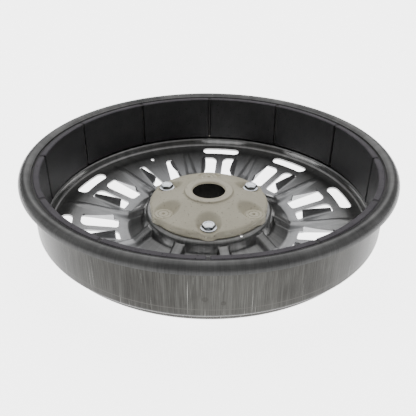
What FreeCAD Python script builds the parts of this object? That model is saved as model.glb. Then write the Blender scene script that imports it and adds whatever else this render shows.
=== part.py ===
import FreeCAD, Part
import math
import os

# Outer rotor of a direct-drive motor: a pressed steel drum lined with magnets, with a
# moulded hub screwed to its centre.  Millimetres, +Z up along the spin axis, and the
# origin on that axis at the level of the drum's lowest point.

V = FreeCAD.Vector
doc = FreeCAD.newDocument("drum_rotor")
sheet = doc.addObject("Spreadsheet::Sheet", "Sizes")

SIZES = [
    ("steel", 1.6, "thickness of the drum's steel sheet"),
    ("rim_radius", 150.0, "outside of the rolled rim"),
    ("rim_top", 66.9, "crest of the rolled rim"),
    ("rim_roll", 5.5, "outer radius of the rim's roll"),
    ("rim_edge", 60.8, "height of the rim's cut edge"),
    ("wall_radius", 140.0, "inner face of the upper wall"),
    ("lip_corner", 65.0, "height where the roll meets the wall"),
    ("shelf_top", 20.4, "shelf below the magnets"),
    ("step_radius", 134.1, "inner face of the lower wall"),
    ("floor_top", 12.4, "floor beside the lower wall"),
    ("floor_break", 119.9, "radius where the floor starts to dish"),
    ("dish_radius", 70.4, "radius of the dish's lowest ring"),
    ("dish_top", 1.468, "height of the dish there"),
    ("hump_foot_radius", 57.7, "where the centre hump turns steep"),
    ("hump_foot", 7.6, "height of that turn"),
    ("seat_radius", 54.0, "edge of the hub's seat"),
    ("seat_top", 17.4, "flat seat under the hub"),
    ("eye_radius", 24.2, "round hole in the middle of the seat"),
    ("sectors", 10, "vent sectors round the floor"),
    ("odd_sector_angle", 120.0, "direction of the one sector with no long slot"),
    ("long_slot_inner", 116.2, "long slot, inner side"),
    ("long_slot_outer", 126.4, "long slot, outer side"),
    ("long_slot_half_angle", 8.75, "half of the long slot's sweep"),
    ("long_slot_corner", 4.6, "corner radius of the long slot"),
    ("small_hole_radius", 1.8, "hole that stands in for the missing long slot"),
    ("small_hole_at", 116.0, "radius where that hole sits"),
    ("vent_outer", 109.5, "outer end of the vents"),
    ("vent_inner", 78.4, "inner end of the vents"),
    ("bar_angle_outer", 1.75, "from the sector's middle to a vent, outer end"),
    ("bar_angle_inner", 2.3, "the same at the inner end"),
    ("vane_angle_outer", 9.4, "from the sector's middle to the vent's far side, outer end"),
    ("vane_angle_inner", 10.8, "the same at the inner end"),
    ("vent_corner", 5.5, "round outer corner of a vent, beside the bar"),
    ("vane_outer", 106.5, "outer end of the bent-up vane"),
    ("vane_inner", 81.0, "inner end of the bent-up vane"),
    ("vane_height_outer", 2.4, "rise of the vane at its outer end"),
    ("vane_height_inner", 7.0, "rise of the vane at its inner end"),
    ("vane_lean_outer", 3.0, "how far the vane leans over its vent there"),
    ("vane_lean_inner", 1.8, "how far it leans at its inner end"),
    ("vane_root", 2.0, "how far beside the vent the bend starts"),
    ("drain_radius", 1.3, "small hole beside the hub"),
    ("drain_at", 51.6, "radius where that hole sits"),
    ("drain_angle", 300.0, "direction of that hole"),
    ("magnets", 12, "magnet segments"),
    ("magnet_inner", 134.0, "inner face of the magnets"),
    ("magnet_outer", 138.9, "outer face of the magnets"),
    ("magnet_bottom", 22.5, "lower end of the magnets"),
    ("magnet_height", 41.8, "height of the magnets"),
    ("magnet_gap", 2.0, "gap between two magnets"),
    ("magnet_corner", 1.2, "rounding of the magnets' upright edges"),
    ("magnet_chamfer", 0.7, "bevel along the magnets' top inner edge"),
    ("glue_bottom", 23.3, "lower end of the glue layer"),
    ("glue_height", 40.4, "height of the glue layer"),
    ("hub_radius", 50.4, "hub's round edge"),
    ("hub_edge_top", 23.3, "top of that edge"),
    ("hub_cone_radius", 20.6, "where the hub's cone meets its collar"),
    ("hub_cone_top", 32.1, "height of the cone there"),
    ("collar_top", 33.6, "top of the collar round the bore"),
    ("bore_radius", 13.9, "shaft bore"),
    ("bore_bevel", 0.9, "bevel at the mouth of the bore"),
    ("bush_radius", 15.6, "outside of the steel bush"),
    ("bush_top", 31.8, "top of the bush, under the collar's lip"),
    ("hub_bottom", 10.0, "lower face of hub and bush"),
    ("spigot_radius", 24.0, "part of the hub inside the drum's eye"),
    ("screw_circle", 43.0, "radius of the circle of screws and blind seats"),
    ("screws", 3, "screws, with as many blind seats between them"),
    ("screw_angle", 30.0, "direction of the first screw"),
    ("seat_disc_radius", 7.0, "raised disc under a screw head"),
    ("seat_disc_top", 22.9, "top of that disc"),
    ("scoop_floor", 22.3, "floor of the scoop round that disc"),
    ("scoop_radius", 7.8, "scoop cut in the cone round each seat, at its floor"),
    ("scoop_mouth_radius", 17.3, "the same scoop at the height of the collar's top"),
    ("lobe_radius", 9.9, "rounded lobe of the hub's edge outside each seat"),
    ("screw_hole_radius", 3.2, "clearance hole for a screw"),
    ("blind_dimple_radius", 1.4, "dimple in the middle of a blind seat"),
    ("blind_ring_inner", 4.3, "fine ring round that dimple, inside"),
    ("blind_ring_outer", 4.7, "fine ring round that dimple, outside"),
    ("flange_radius", 6.7, "flange of the screw's head"),
    ("flange_thickness", 1.3, "thickness of that flange"),
    ("hex_radius", 5.6, "hexagon, centre to corner"),
    ("hex_height", 2.8, "height of the hexagon above its flange"),
    ("shank_radius", 3.0, "screw's shank"),
    ("shank_length", 14.4, "shank below the head"),
    ("nut_radius", 6.0, "round nut clinched under the seat"),
    ("nut_height", 6.0, "height of that nut"),
    ("thread_gap", 0.05, "air between shank and nut"),
]


def fill_sheet():
    """One row per size: name, number, meaning."""
    for row, (name, value, meaning) in enumerate(SIZES, start=1):
        sheet.set("A%d" % row, name)
        sheet.set("B%d" % row, str(value))
        sheet.set("C%d" % row, meaning)
        sheet.setAlias("B%d" % row, name)
    doc.recompute()


def size(name):
    return float(sheet.get(name))


def polar(radius, degrees):
    angle = math.radians(degrees)
    return V(radius * math.cos(angle), radius * math.sin(angle), 0)


def spin(degrees):
    """Placement turned about the rotor's axis."""
    return FreeCAD.Placement(V(0, 0, 0), FreeCAD.Rotation(V(0, 0, 1), degrees))


def lift(height):
    """Offset of a sketch above its plane."""
    return FreeCAD.Placement(V(0, 0, height), FreeCAD.Rotation())


# ---------------------------------------------------------------- sketches and features

def new_body(label):
    body = doc.addObject("PartDesign::Body", label)
    body.Label = label
    return body


def origin_part(body, role):
    for feature in body.Origin.OriginFeatures:
        if feature.Role == role:
            return feature
    raise ValueError(role)


def new_sketch(body, name, plane="XY_Plane", offset=None):
    sketch = body.newObject("Sketcher::SketchObject", name)
    sketch.AttachmentSupport = [(origin_part(body, plane), "")]
    sketch.MapMode = "FlatFace"
    if offset is not None:
        sketch.AttachmentOffset = offset
    return sketch


def add_line(sketch, start, end):
    if start.distanceToPoint(end) > 1e-6:
        sketch.addGeometry(Part.LineSegment(start, end), False)


def add_short_arc(sketch, centre, radius, start, end):
    """The arc of less than half a turn between two points of a circle."""
    first = math.atan2(start.y - centre.y, start.x - centre.x)
    last = math.atan2(end.y - centre.y, end.x - centre.x)
    if (last - first) % (2 * math.pi) > math.pi:
        first, last = last, first
    circle = Part.Circle(centre, V(0, 0, 1), radius)
    sketch.addGeometry(Part.ArcOfCircle(circle, first, first + (last - first) % (2 * math.pi)), False)


def add_circle(sketch, centre, radius):
    sketch.addGeometry(Part.Circle(centre, V(0, 0, 1), radius), False)


def rounded_outline(sketch, corners):
    """Closed outline through corners (x, y, radius); a radius of 0 is a sharp corner."""
    points = [V(x, y, 0) for x, y, radius in corners]
    ends = []
    for i, (x, y, radius) in enumerate(corners):
        here = points[i]
        back = (points[i - 1] - here).normalize()
        ahead = (points[(i + 1) % len(points)] - here).normalize()
        if radius > 0:
            half = back.getAngle(ahead) / 2
            reach = radius / math.tan(half)
            start = here + back * reach
            end = here + ahead * reach
            centre = here + (back + ahead).normalize() * (radius / math.sin(half))
            add_short_arc(sketch, centre, radius, start, end)
        else:
            start = end = here
        ends.append((start, end))
    for i in range(len(ends)):
        add_line(sketch, ends[i - 1][1], ends[i][0])


def ring_sector_outline(sketch, inner, outer, middle, half_angle, corner):
    """Sector of a ring about the axis, with four rounded corners."""
    turn_out = math.degrees(math.asin(corner / (outer - corner)))
    turn_in = math.degrees(math.asin(corner / (inner + corner)))
    reach_out = math.sqrt((outer - corner) ** 2 - corner ** 2)
    reach_in = math.sqrt((inner + corner) ** 2 - corner ** 2)
    for radius, turn in ((outer, turn_out), (inner, turn_in)):
        start = polar(radius, middle - half_angle + turn)
        end = polar(radius, middle + half_angle - turn)
        add_short_arc(sketch, V(0, 0, 0), radius, start, end)
    for side in (-1, 1):
        edge = middle + side * half_angle
        add_line(sketch, polar(reach_in, edge), polar(reach_out, edge))
        add_short_arc(sketch, polar(outer - corner, edge - side * turn_out), corner,
                      polar(outer, edge - side * turn_out), polar(reach_out, edge))
        add_short_arc(sketch, polar(inner + corner, edge - side * turn_in), corner,
                      polar(inner, edge - side * turn_in), polar(reach_in, edge))


def sheet_section(corners, thickness):
    """Closed section of a bent sheet: its upper face, then its lower face backwards."""
    points = [V(x, y, 0) for x, y, radius in corners]
    normals = []
    for start, end in zip(points, points[1:]):
        along = (end - start).normalize()
        normals.append(V(-along.y, along.x, 0))
    lower = []
    for i, (x, y, radius) in enumerate(corners):
        before = normals[max(i - 1, 0)]
        after = normals[min(i, len(normals) - 1)]
        shift = (before + after) * (thickness / (1 + before.dot(after)))
        bend = before.x * after.y - before.y * after.x
        if radius == 0:
            inner_radius = 0
        elif bend > 0:
            inner_radius = max(radius - thickness, 0)
        else:
            inner_radius = radius + thickness
        lower.append((x + shift.x, y + shift.y, inner_radius))
    return list(corners) + lower[::-1]


def revolve(body, sketch, name):
    feature = body.newObject("PartDesign::Revolution", name)
    feature.Profile = sketch
    feature.ReferenceAxis = (sketch, ["V_Axis"])
    feature.Angle = 360
    return finish(body, feature)


def pad(body, sketch, name, length):
    feature = body.newObject("PartDesign::Pad", name)
    feature.Profile = sketch
    feature.setExpression("Length", length)
    return finish(body, feature)


def cut(body, sketch, name, upward=False):
    """Cut from the sketch all the way down, or all the way up."""
    feature = body.newObject("PartDesign::Pocket", name)
    feature.Profile = sketch
    feature.Type = "ThroughAll"
    feature.Reversed = upward
    return finish(body, feature)


def loft(body, sections, name, subtract=False):
    kind = "PartDesign::SubtractiveLoft" if subtract else "PartDesign::AdditiveLoft"
    feature = body.newObject(kind, name)
    feature.Profile = sections[0]
    feature.Sections = sections[1:]
    feature.Ruled = True
    return finish(body, feature)


def repeat(body, feature, name, count, angle="360"):
    """Copies of a feature about the rotor's axis."""
    pattern = body.newObject("PartDesign::PolarPattern", name)
    pattern.Originals = [feature]
    pattern.Axis = (origin_part(body, "Z_Axis"), [""])
    pattern.setExpression("Angle", angle)
    pattern.setExpression("Occurrences", count)
    return finish(body, pattern)


def finish(body, feature):
    """Make the feature the body's tip and see that it built a solid."""
    body.Tip = feature
    doc.recompute()
    if "Invalid" in feature.State or "Error" in feature.State or feature.Shape.isNull():
        raise RuntimeError("%s did not build: %s" % (feature.Label, feature.State))
    print("%-22s volume %.0f" % (feature.Label, feature.Shape.Volume))
    return feature


# ---------------------------------------------------------------- the pressed drum

def floor_height(radius):
    """Top of the dished floor at a radius between its two breaks."""
    run = size("floor_break") - size("dish_radius")
    share = (radius - size("dish_radius")) / run
    return size("dish_top") + (size("floor_top") - size("dish_top")) * share


def drum_corners():
    """Corners of the sheet's upper face, from the rim's cut edge in to the eye."""
    rim, top, roll = size("rim_radius"), size("rim_top"), size("rim_roll")
    roll_start = rim - roll - roll * math.tan(math.radians(17.5))
    return [
        (rim, size("rim_edge"), 0),
        (rim, top, roll),
        (roll_start, top, roll),
        (size("wall_radius"), size("lip_corner"), 1.0),
        (size("wall_radius"), size("shelf_top"), 2.7),
        (size("step_radius"), size("shelf_top"), 2.2),
        (size("step_radius"), size("floor_top"), 2.8),
        (size("floor_break"), size("floor_top"), 25.0),
        (size("dish_radius"), size("dish_top"), 3.0),
        (size("hump_foot_radius"), size("hump_foot"), 3.0),
        (size("seat_radius"), size("seat_top"), 1.9),
        (size("eye_radius"), size("seat_top"), 0),
    ]


def rib_stations():
    """Raised rib between two sectors: radius, crest, half width of crest, half width of foot."""
    return [
        (124.5, size("floor_top") - 0.1, 1.2, 2.0),
        (112.0, floor_height(112.0) + 1.3, 2.3, 4.0),
        (84.0, floor_height(84.0) + 1.8, 4.3, 6.2),
        (72.0, floor_height(72.0) + 3.4, 4.8, 7.0),
        (56.8, 13.6, 4.6, 6.6),
    ]


def rib_sketches(body, name, drop, narrow, depth):
    """One sketch per station, square to the rib that runs half a sector off the X axis."""
    angle = 180.0 / size("sectors")
    sketches = []
    for number, (radius, crest, half_top, half_foot) in enumerate(rib_stations(), start=1):
        turn = FreeCAD.Rotation(V(0, 1, 0), angle)
        offset = FreeCAD.Placement(turn.multVec(V(0, 0, radius)), turn)
        sketch = new_sketch(body, "%s_%d" % (name, number), "YZ_Plane", offset)
        foot = min(floor_height(radius), crest - 2.0) - depth
        if radius < size("dish_radius"):
            foot = size("hump_foot") - depth
        rounded_outline(sketch, [
            (-half_foot + narrow, foot, 0),
            (-half_top + narrow, crest - drop, 0),
            (half_top - narrow, crest - drop, 0),
            (half_foot - narrow, foot, 0),
        ])
        sketches.append(sketch)
    return sketches


def add_ribs(body):
    thickness = size("steel")
    outside = rib_sketches(body, "rib_section", 0, 0, thickness / 2)
    repeat(body, loft(body, outside, "rib"), "ribs", "Sizes.sectors")
    inside = rib_sketches(body, "rib_hollow_section", thickness, thickness * 0.6, 4 * thickness)
    repeat(body, loft(body, inside, "rib_hollow", subtract=True), "rib_hollows", "Sizes.sectors")


def vent_corners(side, middle, bar_outer, bar_inner, far_outer, far_inner, bar_corner):
    """Vent on one side of a sector's middle line, from the four angles of its corners.

    The outer corner by the bar is the round one."""
    outer, inner = size("vent_outer"), size("vent_inner")
    corners = [
        (polar(outer, middle + side * bar_outer), bar_corner),
        (polar(outer, middle + side * far_outer), 2.0),
        (polar(inner, middle + side * far_inner), 2.0),
        (polar(inner, middle + side * bar_inner), 3.0),
    ]
    return [(point.x, point.y, radius) for point, radius in corners]


def cut_vents(body):
    step = 360.0 / size("sectors")
    slots = new_sketch(body, "ordinary_slots", "XY_Plane", lift(size("seat_top")))
    ring_sector_outline(slots, size("long_slot_inner"), size("long_slot_outer"), step,
                        size("long_slot_half_angle"), size("long_slot_corner"))
    for side in (1, -1):
        corners = vent_corners(side, step, size("bar_angle_outer"), size("bar_angle_inner"),
                               size("vane_angle_outer"), size("vane_angle_inner"), size("vent_corner"))
        rounded_outline(slots, corners)
    repeat(body, cut(body, slots, "sector_slots"), "all_sector_slots",
           "Sizes.sectors - 1", "360 - 720 / Sizes.sectors")
    odd = new_sketch(body, "odd_slots", "XY_Plane", lift(size("seat_top")))
    rounded_outline(odd, vent_corners(1, 0, 6.3, 4.0, 9.5, 11.0, 2.6))
    rounded_outline(odd, vent_corners(-1, 0, 6.2, 2.0, 9.2, 10.0, 2.6))
    add_circle(odd, V(size("small_hole_at"), 0, 0), size("small_hole_radius"))
    cut(body, odd, "odd_sector_slots")


def vane_sketches(body, side):
    """Sections of the sheet bent up along a vent's far side."""
    thickness = size("steel")
    ends = ["outer", "inner"]
    sketches = []
    for name in ends:
        radius, rise = size("vane_" + name), size("vane_height_" + name)
        share = (radius - size("vent_inner")) / (size("vent_outer") - size("vent_inner"))
        angle = size("vane_angle_inner")
        angle = angle + (size("vane_angle_outer") - angle) * share
        hinge = radius * math.sin(math.radians(angle))
        across = radius * math.cos(math.radians(angle))
        root = V(hinge + size("vane_root"), floor_height(radius) - 0.1, 0)
        edge = V(hinge - size("vane_lean_" + name), floor_height(radius) + rise, 0)
        along = (edge - root).normalize()
        down = V(-along.y, along.x, 0) * thickness
        quad = [root, edge, edge + down, root + down]
        sketch = new_sketch(body, "vane_%s_%s" % ("left" if side > 0 else "right", name),
                            "YZ_Plane", lift(across))
        rounded_outline(sketch, [(side * point.x, point.y, 0) for point in quad])
        sketches.append(sketch)
    return sketches


def add_vanes(body):
    for side, name in ((1, "left"), (-1, "right")):
        vane = loft(body, vane_sketches(body, side), "vane_" + name)
        repeat(body, vane, "vanes_" + name, "Sizes.sectors")


def cut_seat_holes(body):
    """Screw holes under the hub and the small hole beside it."""
    turn = size("odd_sector_angle")
    holes = new_sketch(body, "seat_holes", "XY_Plane", lift(size("seat_top") + 5))
    for number in range(int(size("screws"))):
        angle = size("screw_angle") + number * 360.0 / size("screws") - turn
        add_circle(holes, polar(size("screw_circle"), angle), size("screw_hole_radius"))
    add_circle(holes, polar(size("drain_at"), size("drain_angle") - turn), size("drain_radius"))
    cut(body, holes, "seat_hole_cuts")


def make_drum():
    body = new_body("rotor_drum")
    profile = new_sketch(body, "drum_profile", "XZ_Plane")
    rounded_outline(profile, sheet_section(drum_corners(), size("steel")))
    revolve(body, profile, "drum_sheet")
    add_ribs(body)
    cut_vents(body)
    add_vanes(body)
    cut_seat_holes(body)
    body.Placement = spin(size("odd_sector_angle"))
    return body


# ---------------------------------------------------------------- magnets and glue

def top_inner_edge(shape):
    """Name of the long edge along the top of the inner face."""
    top = shape.BoundBox.ZMax
    for number, edge in enumerate(shape.Edges, start=1):
        on_top = abs(edge.BoundBox.ZMin - top) < 1e-4
        if on_top and edge.Curve.TypeId == "Part::GeomCircle":
            if abs(edge.Curve.Radius - size("magnet_inner")) < 1e-4:
                return "Edge%d" % number
    raise ValueError("no top edge")


def make_magnet(number):
    count = size("magnets")
    body = new_body("magnet_%02d" % number)
    gap_angle = math.degrees(size("magnet_gap") / 2 / size("magnet_inner"))
    outline = new_sketch(body, "magnet_outline_%02d" % number, "XY_Plane", lift(size("magnet_bottom")))
    ring_sector_outline(outline, size("magnet_inner"), size("magnet_outer"), 0,
                        180.0 / count - gap_angle, size("magnet_corner"))
    block = pad(body, outline, "magnet_block_%02d" % number, "Sizes.magnet_height")
    bevel = body.newObject("PartDesign::Chamfer", "magnet_bevel_%02d" % number)
    bevel.Base = (block, [top_inner_edge(block.Shape)])
    bevel.setExpression("Size", "Sizes.magnet_chamfer")
    finish(body, bevel)
    body.Placement = spin((number - 0.5) * 360.0 / count)
    return body


def tube(name, outer, inner, height, bottom):
    """Plain tube on the rotor's axis; every size is an expression on the sheet."""
    solid = doc.addObject("Part::Cylinder", name + "_outside")
    solid.setExpression("Radius", outer)
    solid.setExpression("Height", height)
    hollow = doc.addObject("Part::Cylinder", name + "_inside")
    hollow.setExpression("Radius", inner)
    hollow.setExpression("Height", height)
    result = doc.addObject("Part::Cut", name)
    result.Label = name
    result.Base = solid
    result.Tool = hollow
    result.setExpression("Placement.Base.z", bottom)
    return result


def make_glue():
    return tube("magnet_glue", "Sizes.wall_radius", "Sizes.magnet_outer",
                "Sizes.glue_height", "Sizes.glue_bottom")


# ---------------------------------------------------------------- hub, bush, screws, nuts

def hub_corners():
    """Section of the hub, right of the axis."""
    bore, bush = size("bore_radius"), size("bush_radius")
    return [
        (bore, size("collar_top") - size("bore_bevel"), 0),
        (bore + size("bore_bevel"), size("collar_top"), 0),
        (size("hub_cone_radius"), size("collar_top"), 0.8),
        (size("hub_cone_radius"), size("hub_cone_top"), 0),
        (size("hub_radius"), size("hub_edge_top"), 2.0),
        (size("hub_radius"), size("seat_top"), 0),
        (size("spigot_radius"), size("seat_top"), 0),
        (size("spigot_radius"), size("hub_bottom"), 0.6),
        (bush, size("hub_bottom"), 0),
        (bush, size("bush_top"), 0),
        (bore, size("bush_top"), 0),
    ]


def hub_feature_sketch(body, name, height, radii, angle=0):
    """Circles about one seat's centre, at a height above the origin."""
    sketch = new_sketch(body, name, "XY_Plane", lift(height))
    for radius in radii:
        add_circle(sketch, polar(size("screw_circle"), angle), radius)
    return sketch


def make_hub():
    body = new_body("drive_hub")
    profile = new_sketch(body, "hub_profile", "XZ_Plane")
    rounded_outline(profile, hub_corners())
    revolve(body, profile, "hub_cone")
    seats = "2 * Sizes.screws"
    lobe = hub_feature_sketch(body, "lobe_circle", size("seat_top"), [size("lobe_radius")])
    repeat(body, pad(body, lobe, "lobe", "Sizes.scoop_floor - Sizes.seat_top"), "lobes", seats)
    scoop = [
        hub_feature_sketch(body, "scoop_circle", size("scoop_floor"), [size("scoop_radius")]),
        hub_feature_sketch(body, "scoop_mouth_circle", size("collar_top"), [size("scoop_mouth_radius")]),
    ]
    repeat(body, loft(body, scoop, "scoop", subtract=True), "scoops", seats)
    disc = hub_feature_sketch(body, "disc_circle", size("scoop_floor") - 1, [size("seat_disc_radius")])
    disc_height = "Sizes.seat_disc_top - Sizes.scoop_floor + 1"
    repeat(body, pad(body, disc, "seat_disc", disc_height), "seat_discs", seats)
    hole = hub_feature_sketch(body, "hole_circle", size("collar_top"), [size("screw_hole_radius")])
    repeat(body, cut(body, hole, "screw_hole"), "screw_holes", "Sizes.screws")
    blind = 180.0 / size("screws")
    dimple = hub_feature_sketch(body, "dimple_circle", size("seat_disc_top") - 1.2,
                                [size("blind_dimple_radius")], blind)
    repeat(body, cut(body, dimple, "dimple", upward=True), "dimples", "Sizes.screws")
    ring = hub_feature_sketch(body, "ring_circles", size("seat_disc_top") - 0.3,
                              [size("blind_ring_outer"), size("blind_ring_inner")], blind)
    repeat(body, cut(body, ring, "ring_groove", upward=True), "ring_grooves", "Sizes.screws")
    body.Placement = spin(size("screw_angle"))
    return body


def make_bush():
    return tube("shaft_bush", "Sizes.bush_radius", "Sizes.bore_radius",
                "Sizes.bush_top - Sizes.hub_bottom", "Sizes.hub_bottom")


def seat_place(number, height):
    """Where the screw of one seat stands."""
    angle = size("screw_angle") + (number - 1) * 360.0 / size("screws")
    spot = polar(size("screw_circle"), angle)
    return FreeCAD.Placement(V(spot.x, spot.y, height), FreeCAD.Rotation(V(0, 0, 1), angle + 90))


def make_screw(number):
    """Flanged hexagon screw, built with its seat face at the local origin."""
    tag = "_%02d" % number
    flange = doc.addObject("Part::Cone", "flange" + tag)
    flange.setExpression("Radius1", "Sizes.flange_radius")
    flange.setExpression("Radius2", "Sizes.hex_radius")
    flange.setExpression("Height", "Sizes.flange_thickness")
    hexagon = doc.addObject("Part::Prism", "hexagon" + tag)
    hexagon.Polygon = 6
    hexagon.setExpression("Circumradius", "Sizes.hex_radius")
    hexagon.setExpression("Height", "Sizes.hex_height")
    hexagon.setExpression("Placement.Base.z", "Sizes.flange_thickness")
    crown = doc.addObject("Part::Cone", "crown" + tag)
    crown.setExpression("Radius1", "Sizes.hex_radius + 1.6")
    crown.setExpression("Radius2", "Sizes.hex_radius - 0.9")
    crown.setExpression("Height", "Sizes.hex_height")
    crown.setExpression("Placement.Base.z", "Sizes.flange_thickness")
    head = doc.addObject("Part::Common", "head" + tag)
    head.Base = hexagon
    head.Tool = crown
    shank = doc.addObject("Part::Cylinder", "shank" + tag)
    shank.setExpression("Radius", "Sizes.shank_radius")
    shank.setExpression("Height", "Sizes.shank_length + 0.5")
    shank.setExpression("Placement.Base.z", "-Sizes.shank_length")
    screw = doc.addObject("Part::MultiFuse", "hub_screw" + tag)
    screw.Label = "hub_screw" + tag
    screw.Shapes = [flange, head, shank]
    screw.Placement = seat_place(number, size("seat_disc_top"))
    return screw


def make_nut(number):
    """Round nut clinched to the underside of the seat."""
    nut = tube("seat_nut_%02d" % number, "Sizes.nut_radius", "Sizes.shank_radius + Sizes.thread_gap",
               "Sizes.nut_height", "0")
    nut.setExpression("Placement.Base.z", None)
    nut.Placement = seat_place(number, size("seat_top") - size("steel") - size("nut_height"))
    return nut


# ---------------------------------------------------------------- build and export

def export(nodes):
    os.makedirs("parts", exist_ok=True)
    doc.recompute()
    for feature in doc.Objects:
        if "Invalid" in feature.State or "Error" in feature.State:
            raise RuntimeError("%s is in error" % feature.Label)
    for node in nodes:
        shape = node.Shape
        if shape.isNull() or not shape.isValid() or len(shape.Solids) != 1:
            raise RuntimeError("%s is not one valid solid" % node.Label)
        shape.exportStep("parts/%s.step" % node.Label)
        box = shape.BoundBox
        print("%-14s volume %9.1f  z %.2f to %.2f  r %.2f" % (
            node.Label, shape.Volume, box.ZMin, box.ZMax, box.XMax))


fill_sheet()
nodes = [make_drum(), make_glue(), make_hub(), make_bush()]
for index in range(1, int(size("magnets")) + 1):
    nodes.append(make_magnet(index))
for index in range(1, int(size("screws")) + 1):
    nodes.append(make_screw(index))
    nodes.append(make_nut(index))
export(nodes)
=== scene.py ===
import math

import bmesh
import bpy
import numpy as np
from mathutils import Matrix, Vector
from mathutils.geometry import delaunay_2d_cdt


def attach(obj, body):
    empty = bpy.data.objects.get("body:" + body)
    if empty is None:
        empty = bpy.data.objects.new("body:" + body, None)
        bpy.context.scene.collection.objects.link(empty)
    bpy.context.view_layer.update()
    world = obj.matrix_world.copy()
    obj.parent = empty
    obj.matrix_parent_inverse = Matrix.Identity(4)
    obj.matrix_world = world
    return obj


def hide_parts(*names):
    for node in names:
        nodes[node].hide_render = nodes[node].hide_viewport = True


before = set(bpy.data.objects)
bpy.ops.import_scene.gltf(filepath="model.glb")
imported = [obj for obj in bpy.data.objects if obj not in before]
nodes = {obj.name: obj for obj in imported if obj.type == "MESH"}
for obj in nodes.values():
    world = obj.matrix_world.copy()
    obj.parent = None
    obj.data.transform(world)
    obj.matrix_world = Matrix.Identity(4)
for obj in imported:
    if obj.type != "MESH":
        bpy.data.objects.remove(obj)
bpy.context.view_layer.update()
MM = 0.001

# ------------------------------------------------------------------ sizes, in millimetres and degrees
SHEET = 1.6
EYE, WEB_IN, WEB_OUT = 24.2, 47.0, 129.3    # hole in the floor, and the ring made of sectors
PROFILE_SPLIT = 129.31                      # profile points beyond this belong to the turned wall
SEAT_Z, SEAT_EDGE = 17.4, 54.2              # top of the raised seat, and where the ribs end at it
SECTORS, ODD, DRAIN = 10, 3, 8              # how many sectors, and which two differ
FIRST_SECTOR = 12.0
STEP = 360.0 / SECTORS
SPLITS = 30
VENT_OUT, VENT_IN = 109.5, 78.4
VANE_OUT, VANE_IN = 106.2, 81.0
VANE_SLOPE, VANE_LENGTH = 74, 7.1           # at a vane's inner end
PLAIN_TAPER, LOW_TAPER = (18, 4.1), (44, 5.5)   # slope and length lost by its outer end
VANE_END = 1.5                              # the sheet beside a vane's ends that bends with it
FOLD_FROM, FOLD_SPAN = -2.5, 3.6            # where the fold starts before the hinge, and its width
BEND_STEPS, BEND_STEP = 40, 0.25
ROOT_CUT = 0.3                              # how far the cuts at a vane's ends run past the hinge
SLOT_END = 3.2                              # angle at each end of a long slot that its corner takes
# A vent is (side of the middle line, angles of its edge at the bar, outer and inner, angles of its
# far edge, outer and inner, corner radius at the bar). A corner under LOW_CORNER also means that the
# vane is a low one, which tapers further.
LOW_CORNER = 3.0
ODD_VENTS = [(1, 6.3, 4.0, 9.5, 11.0, 2.6), (-1, 6.2, 2.0, 9.2, 10.0, 2.6)]
PLAIN_VENTS = [(1, 1.75, 2.3, 9.4, 10.8, 5.5), (-1, 1.75, 2.3, 9.4, 10.8, 5.5)]
HUB_R, LOBE_R, SEAT_CIRCLE, BORE_R, MOUTH_R = 50.4, 9.9, 43.0, 13.9, 14.8
SPIGOT_R, SCREW_HOLE_R, HUB_SIDE_Z = 24.0, 3.2, 19.4
SCOOP_Z, SCOOP_R, SCOOP_SLOPE, PAD_R = 22.3, 7.8, 1.15, 7.35
PAD_Z, HUB_ROUND = 22.9, 1.6                # top of a screw's pad, and radius of the hub's edge
# Upper face of the sheet as (radius, height, corner radius), from the rim's lip to the eye.
DRUM_TOP = [
    (150.0, 60.8, 0), (150.0, 66.9, 5.5), (142.766, 66.9, 5.5), (140.0, 65.0, 1.0),
    (140.0, 20.4, 2.7), (134.1, 20.4, 2.2), (134.1, 12.4, 2.8), (119.9, 12.4, 25.0),
    (70.4, 1.468, 3.0), (57.7, 7.6, 3.0), (54.0, 17.4, 4.2), (24.2, 17.4, 0),
]


# ------------------------------------------------------------------ plane geometry
def round_path(corners, steps=6, closed=False):
    """Points along a path through corners (x, y, radius), each radius drawn as an arc."""
    count = len(corners)
    out = []
    for i, (x, y, radius) in enumerate(corners):
        here = Vector((x, y))
        ends_path = not closed and i in (0, count - 1)
        if radius <= 0 or ends_path:
            out.append((x, y))
            continue
        back = (Vector(corners[i - 1][:2]) - here).normalized()
        ahead = (Vector(corners[(i + 1) % count][:2]) - here).normalized()
        half = back.angle(ahead) / 2
        centre = here + (back + ahead).normalized() * (radius / math.sin(half))
        start = here + back * (radius / math.tan(half)) - centre
        end = here + ahead * (radius / math.tan(half)) - centre
        turn = start.angle_signed(end)
        for s in range(steps + 1):
            spot = centre + Matrix.Rotation(-turn * s / steps, 2) @ start
            out.append((spot.x, spot.y))
    return out


def resample(loop, gap, closed=True):
    """The same outline with no side longer than gap."""
    out = []
    pairs = zip(loop, loop[1:] + (loop[:1] if closed else []))
    for (x0, y0), (x1, y1) in pairs:
        parts = max(1, math.ceil(math.hypot(x1 - x0, y1 - y0) / gap))
        out += [(x0 + (x1 - x0) * k / parts, y0 + (y1 - y0) * k / parts) for k in range(parts)]
    if not closed:
        out.append(loop[-1])
    return out


def polar(radius, degrees):
    angle = math.radians(degrees)
    return radius * math.cos(angle), radius * math.sin(angle)


def circle(centre, radius, count):
    return [(centre[0] + radius * math.cos(2 * math.pi * k / count),
             centre[1] + radius * math.sin(2 * math.pi * k / count)) for k in range(count)]


def inside(points, loop):
    """Which points lie inside a closed outline."""
    x, y = points[:, 0], points[:, 1]
    hit = np.zeros(len(points), bool)
    for (x0, y0), (x1, y1) in zip(loop, loop[1:] + loop[:1]):
        if y0 == y1:
            continue
        crosses = ((y0 > y) != (y1 > y)) & (x < (x1 - x0) * (y - y0) / (y1 - y0) + x0)
        hit ^= crosses
    return hit


def gap_to(points, loop):
    """Distance of each point from an outline."""
    best = np.full(len(points), 1e9)
    for a, b in zip(loop, loop[1:] + loop[:1]):
        a, b = np.array(a), np.array(b)
        along = b - a
        share = np.clip(((points - a) @ along) / max(along @ along, 1e-12), 0, 1)
        best = np.minimum(best, np.hypot(*(points - a - share[:, None] * along).T))
    return best


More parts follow.
